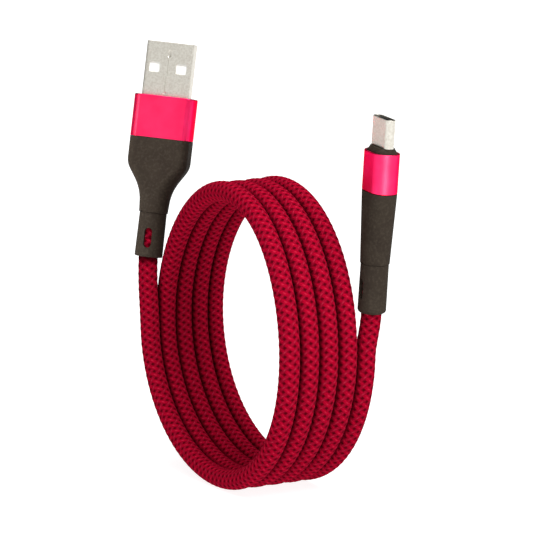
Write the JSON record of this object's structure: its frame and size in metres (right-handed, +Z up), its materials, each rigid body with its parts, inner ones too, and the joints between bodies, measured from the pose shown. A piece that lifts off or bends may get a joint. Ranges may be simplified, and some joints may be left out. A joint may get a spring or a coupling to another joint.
{
  "type": "charging cable",
  "caption": "Braided charging cable wound into an upright round coil, with a flat rectangular plug on one lead and a small round-ended plug on the other.",
  "frame": {"origin": "middle of the coil's flat foot, on the surface that the coil stands on", "axes": "+Z up, +X along the coil's axis from the USB-A lead's end to the USB-C lead's end, +Y towards the side of the coil that the USB-A lead rises from"},
  "size_m": [0.0319, 0.0855, 0.1057],
  "materials": {
    "braid": "crimson nylon braid with dark tracer dots",
    "anodised_collar": "fine bead-blasted pink-red anodising",
    "boot_rubber": "matte charcoal moulded elastomer",
    "shell_steel": "satin nickel plating",
    "white_plastic": "white moulded plastic",
    "black_plastic": "black moulded plastic",
    "inner_plastic": "grey moulded plastic",
    "contact_gold": "gold plating",
    "wire_insulation": "smooth extruded plastic",
    "crimp_metal": "tin plated",
    "circuit_board": "green solder mask"
  },
  "bodies": {
    "root": {"usb_a_shell": "shell_steel", "usb_a_tongue": "white_plastic", "usb_a_contacts": "contact_gold", "usb_a_wires": "wire_insulation", "usb_a_crimp": "crimp_metal", "usb_a_inner_mould": "inner_plastic", "usb_a_collar": "anodised_collar", "usb_a_boot": "boot_rubber", "usb_a_tail_sleeve": "boot_rubber", "cord_end_a": "braid", "cord_lead_a": "braid", "cord_coil": "braid", "cord_lead_c": "braid", "cord_end_c": "braid", "usb_c_tail_sleeve": "boot_rubber", "usb_c_boot": "boot_rubber", "usb_c_collar": "anodised_collar", "usb_c_end_cap": "boot_rubber", "usb_c_shell": "shell_steel", "usb_c_insulator": "black_plastic", "usb_c_contacts": "contact_gold", "usb_c_latches": "shell_steel", "usb_c_board": "circuit_board", "usb_c_wires": "wire_insulation", "usb_c_crimp": "crimp_metal", "usb_c_inner_mould": "inner_plastic"}
  },
  "joints": []
}
